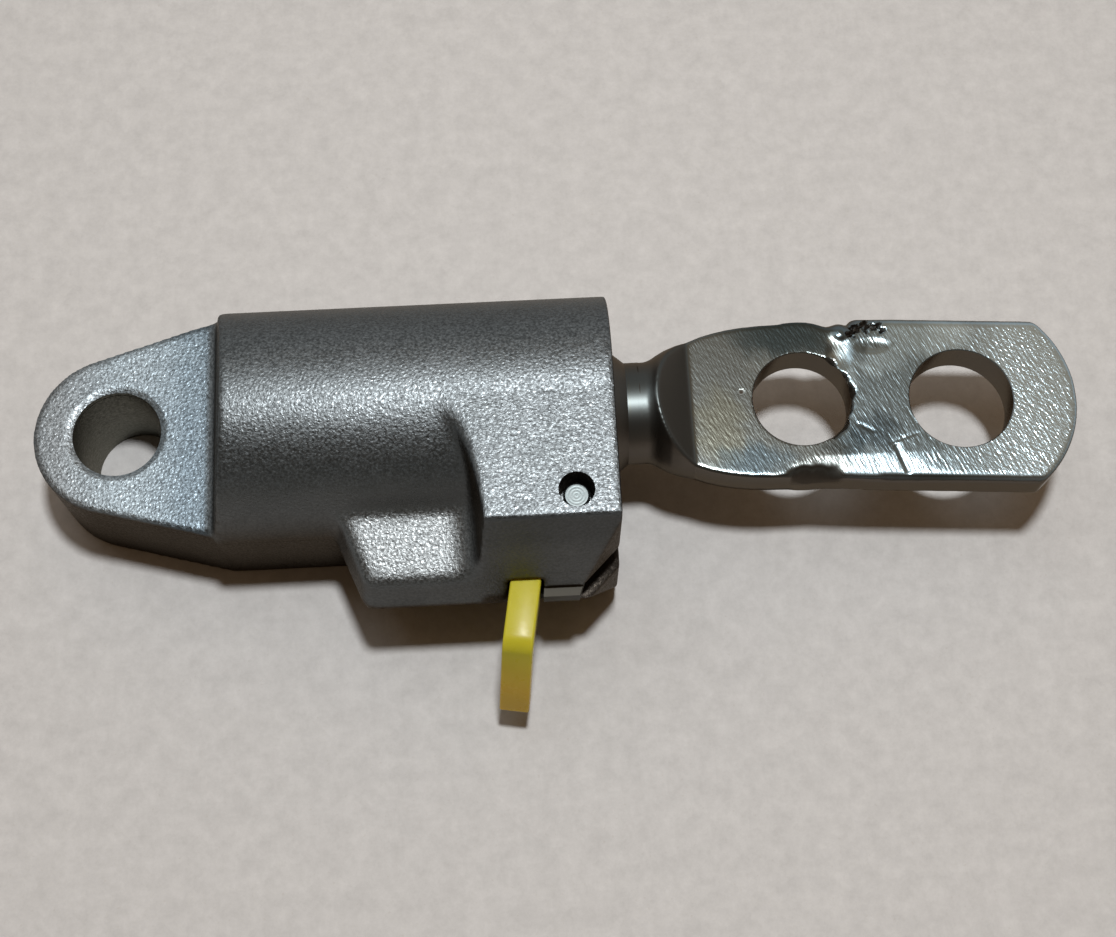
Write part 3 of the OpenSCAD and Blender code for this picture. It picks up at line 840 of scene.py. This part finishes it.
def flush_weld():
    """The weld bead with its front end ground flush: the gap from head to plate is filled level."""
    bead = merged_copy("bead", "weld_bead")
    corner = points_of(frame["nodes"]["extension_plate"])
    front_y = corner[corner[:, 0] < weld_x + MM, 1].min() + FRONT_BREAK
    head_r = plunger_high.y
    rear_x, fore_x = weld_x - FILL_REACH, weld_x + FILL_FORE
    rear_y = FRONT_BREAK - math.sqrt(head_r ** 2 - (rear_x - head_eye.x) ** 2)
    deep_y, past_x = 2 * front_y, fore_x + MM
    trim = prism("trim", [(rear_x, deep_y), (past_x, deep_y), (past_x, FILL_INNER_Y),
                          (rear_x, FILL_INNER_Y)], 0, top_z)
    combine(bead, trim, "DIFFERENCE")
    inner_y = FILL_INNER_Y + MM
    fill = prism("fill", [(rear_x, rear_y), (weld_x, front_y), (fore_x, front_y),
                          (fore_x, inner_y), (rear_x, inner_y)], under_z + FILL_LIFT, face_z)
    swallow(bead, fill)
    return bead


def welded_skin():
    """One skin over the plunger's head, the plate and the weld, ground and drilled."""
    skin = merged_copy("welded_skin", "plunger")
    cut_x = end_x + NECK_RUN + 0.4 * MM
    neck_half(skin, cut_x)
    swallow(skin, merged_copy("plate", "extension_plate"))
    swallow(skin, flush_weld())
    for centre, radius in ram_eyes:
        swallow(skin, plug(radius * 1.04, under_z, face_z, centre))
    recast(skin, SKIN_GRAIN)
    soften(skin, SKIN_PASSES, lambda points: rise(cut_x, cut_x + MM, points[:, 0]))
    soften(skin, SKIN_PASSES, lambda points: rise(head_eye.x, weld_x, points[:, 0]))
    soften(skin, LUMP_PASSES, lump_share)
    grind_face(skin)
    soften(skin, NOTCH_PASSES, notch_share)
    for centre, radius in ram_eyes:
        rim_r = radius + 3 * RIM_BREAK
        drill = lathe("drill", [
            (radius, 0), (radius, face_z - RIM_BREAK), (rim_r, face_z + 2 * RIM_BREAK),
            (rim_r, top_z)], (centre.x, centre.y, 0))
        # Painted shade: the walls of the eye bores are darkened, stored with the weld's burnt places.
        reach = np.linalg.norm((points_of(drill) - np.array(centre))[:, :2], axis=1)
        mark(drill, "burn_and_bore_shade", "FLOAT", "value", np.where(reach < radius + RIM_BREAK, EYE_BORE_SHADE, 0.0))
        combine(skin, drill, "DIFFERENCE")
    return skin


def slice_of(skin, name, low_x, high_x):
    """Closed part of the skin between two upright planes."""
    mesh = skin.data.copy()
    mesh.name = name
    with opened(mesh) as shell:
        for plane_x, side in ((low_x, 1), (high_x, -1)):
            if plane_x is None:
                continue
            cut = bmesh.ops.bisect_plane(
                shell, geom=shell.verts[:] + shell.edges[:] + shell.faces[:], dist=1e-7,
                plane_co=(plane_x, 0, 0), plane_no=(side, 0, 0), clear_inner=True)
            rim = [part for part in cut["geom_cut"] if isinstance(part, bmesh.types.BMEdge)]
            bmesh.ops.triangle_fill(shell, edges=rim, use_beauty=True)
        bmesh.ops.recalc_face_normals(shell, faces=shell.faces)
    return piece(name, mesh)


def make_ram(material):
    skin = welded_skin()
    head = slice_of(skin, "plunger_turned", None, weld_x - WELD_HALF)
    weld = slice_of(skin, "weld_seam", weld_x - WELD_HALF, weld_x + WELD_HALF)
    plate = slice_of(skin, "plate_ground", weld_x + WELD_HALF, None)
    discard(skin)
    shank = grown("plunger_shank", shank_tree(), {"Steel": material})
    along_x = Matrix.Rotation(math.pi / 2, 4, "Y")
    hollow_l = end_x - HOLLOW_END - plunger_low.x
    combine(shank, lathe("hollow", [(HOLLOW_D / 2, -MM), (HOLLOW_D / 2, hollow_l)],
                         (plunger_low.x, 0, axis_z), along_x), "DIFFERENCE")
    combine(head, shank, "UNION")
    finish_piece(head, material, "ram", ["plunger"])
    finish_piece(weld, material, "ram", ["weld_bead"])
    finish_piece(plate, material, "ram", ["extension_plate"])


# Springs

def coil_tree():
    """Round wire wound along Z, then laid in its place."""
    g = Grower("wound_wire", {
        "Turns": ("NodeSocketFloat", 10.0), "Coil radius": ("NodeSocketFloat", 3 * MM),
        "Wire radius": ("NodeSocketFloat", 0.5 * MM), "Rise": ("NodeSocketFloat", 20 * MM),
        "Place": ("NodeSocketVector", (0, 0, 0)), "Turn": ("NodeSocketRotation", (0, 0, 0))})
    size = g.inputs
    path = g.add("GeometryNodeCurveSpiral", {
        "Rotations": size["Turns"], "Start Radius": size["Coil radius"],
        "End Radius": size["Coil radius"], "Height": size["Rise"], "Resolution": 40})["Curve"]
    ring = g.add("GeometryNodeCurvePrimitiveCircle", {
        "Radius": size["Wire radius"], "Resolution": 14})["Curve"]
    wire = g.add("GeometryNodeCurveToMesh", {
        "Curve": path, "Profile Curve": ring, "Fill Caps": True})["Mesh"]
    return g.end(g.add("GeometryNodeTransform", {
        "Geometry": wire, "Translation": size["Place"], "Rotation": size["Turn"]})["Geometry"])


def make_springs(material):
    tree = coil_tree()
    low, high = (Vector(corner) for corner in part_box("plunger_spring"))
    coil = grown("plunger_spring_wire", tree, {
        "Turns": float(COIL_TURNS), "Coil radius": (high.y - low.y - COIL_WIRE) / 2,
        "Wire radius": COIL_WIRE / 2, "Rise": high.x - low.x - COIL_WIRE, "Steel": material,
        "Place": (low.x + COIL_WIRE / 2, 0, axis_z), "Turn": (0, math.pi / 2, 0)})
    finish_piece(coil, material, "body", ["plunger_spring"])
    low, high = (Vector(corner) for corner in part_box("pawl_spring"))
    coil = grown("pawl_spring_wire", tree, {
        "Turns": float(PAWL_TURNS), "Coil radius": (high.y - low.y - PAWL_WIRE) / 2,
        "Wire radius": PAWL_WIRE / 2, "Rise": high.z - low.z - PAWL_WIRE, "Steel": material,
        "Place": (pin_axis.x, pin_axis.y, low.z + PAWL_WIRE / 2)})
    finish_piece(coil, material, "body", ["pawl_spring"])


# Pull tab, pawl and pin

def make_tab(material):
    """The moulded tab with rounded edges."""
    tab = merged_copy("moulded_tab", "pull_tab")
    with opened(tab.data) as shell:
        bmesh.ops.dissolve_limit(shell, angle_limit=math.radians(1), verts=shell.verts,
                                 edges=shell.edges)
    edge = tab.modifiers.new("edges", "BEVEL")
    edge.width = TAB_EDGE
    edge.segments = 3
    edge.limit_method = "ANGLE"
    edge.angle_limit = math.radians(20)
    settle(tab)
    finish_piece(tab, material, "tab", ["pull_tab"], crease=60)


def paint(node, material):
    obj = frame["nodes"][node]
    obj.data.materials.clear()
    obj.data.materials.append(material)


# Studio

def add_lamp(name, place, size, energy, colour):
    lamp = bpy.data.lights.new(name, "AREA")
    lamp.shape = "DISK"
    lamp.size = size
    lamp.energy = energy
    lamp.color = colour
    obj = bpy.data.objects.new(name, lamp)
    obj.location = place
    aim = LAMP_AIM - obj.location
    obj.rotation_euler = aim.to_track_quat("-Z", "Y").to_euler()
    bpy.context.collection.objects.link(obj)


def make_floor(material):
    mesh = bpy.data.meshes.new("table_top")
    corners = [(-1, -1), (1, -1), (1, 1), (-1, 1)]
    mesh.from_pydata([(x * FLOOR_HALF, y * FLOOR_HALF, 0) for x, y in corners], [], [(0, 1, 2, 3)])
    mesh.materials.append(material)
    floor = piece("table_top", mesh)


def make_room():
    """A room that is lighter behind the part than in front of it, with a pale backdrop low down."""
    world = bpy.data.worlds.new("studio")
    world.use_nodes = True
    w = Bench(world.node_tree)
    way = w.add("ShaderNodeSeparateXYZ", {"Vector": w.add("ShaderNodeTexCoord")["Generated"]})
    back = w.ranged(way["Y"], -1, 1)
    room = w.ramp(back, (0.3, ROOM_FRONT), (0.95, ROOM_BACK))
    backdrop = w.ramp(back, (0.35, BACKDROP_FRONT), (0.65, BACKDROP_BACK))
    ray = w.add("ShaderNodeLightPath")
    seen = w.calc("MAXIMUM", ray["Is Camera Ray"], ray["Is Glossy Ray"])
    share = w.calc("MULTIPLY", w.ranged(way["Z"], 0.85, 0.45), seen)
    w.feed(w.tree.nodes["Background"].inputs["Color"], w.blend(share, room, backdrop))
    bpy.context.scene.world = world


def make_camera():
    data = bpy.data.cameras.new("photo_camera")
    data.sensor_fit = "HORIZONTAL"
    data.sensor_width = SENSOR_W
    data.lens = FOCAL_PX * SENSOR_W / IMAGE_W
    data.clip_start = 0.005
    data.clip_end = 20
    camera = bpy.data.objects.new("photo_camera", data)
    turn = (Matrix.Rotation(math.radians(CAMERA_YAW), 4, "Z")
            @ Matrix.Rotation(math.radians(CAMERA_TILT), 4, "X")
            @ Matrix.Rotation(math.radians(CAMERA_ROLL), 4, "Z"))
    camera.matrix_world = Matrix.Translation(CAMERA_PLACE) @ turn
    bpy.context.collection.objects.link(camera)
    bpy.context.scene.camera = camera


bpy.context.scene.view_settings.view_transform = "Standard"
make_floor(pale_board())
for lamp_name, lamp_values in LAMPS.items():
    add_lamp(lamp_name, *lamp_values)
make_room()
make_camera()
make_housing(blasted_aluminium())
make_ram(ram_steel())
make_springs(spring_steel())
make_tab(yellow_plastic())
paint("pawl", pawl_steel())
paint("pawl_pin", pin_steel())
